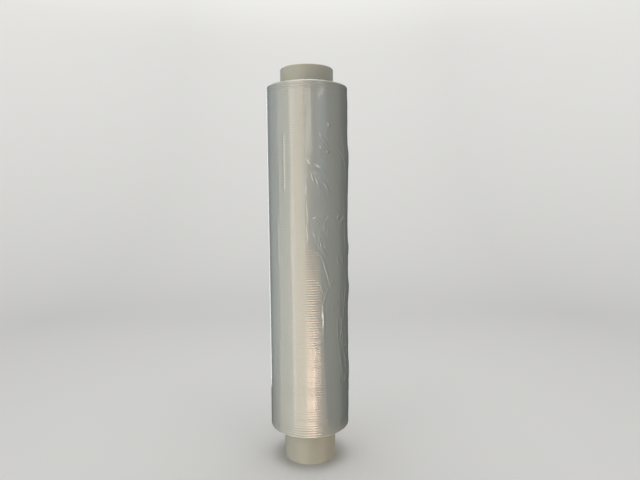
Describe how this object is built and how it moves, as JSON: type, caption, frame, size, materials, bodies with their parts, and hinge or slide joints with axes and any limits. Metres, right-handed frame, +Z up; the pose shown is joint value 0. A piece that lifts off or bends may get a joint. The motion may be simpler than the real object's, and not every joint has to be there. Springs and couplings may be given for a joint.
{
  "type": "roll of cling film",
  "caption": "Upright roll of clear stretch film wound on a plastic core tube that stands out at both ends, with a slack, creased last turn.",
  "frame": {"origin": "centre of the core's lower end, on the surface that the roll stands on", "axes": "+Z up the core's axis, towards the shorter core end; -Y faces the viewer of the creased film, +X is to the viewer's right"},
  "size_m": [0.0955, 0.0948, 0.461],
  "materials": {
    "core": "satin extruded tube, off-white",
    "film": "glossy, milky where it is wound"
  },
  "bodies": {
    "root": {"core_tube": "core", "film_roll": "film"}
  },
  "joints": []
}
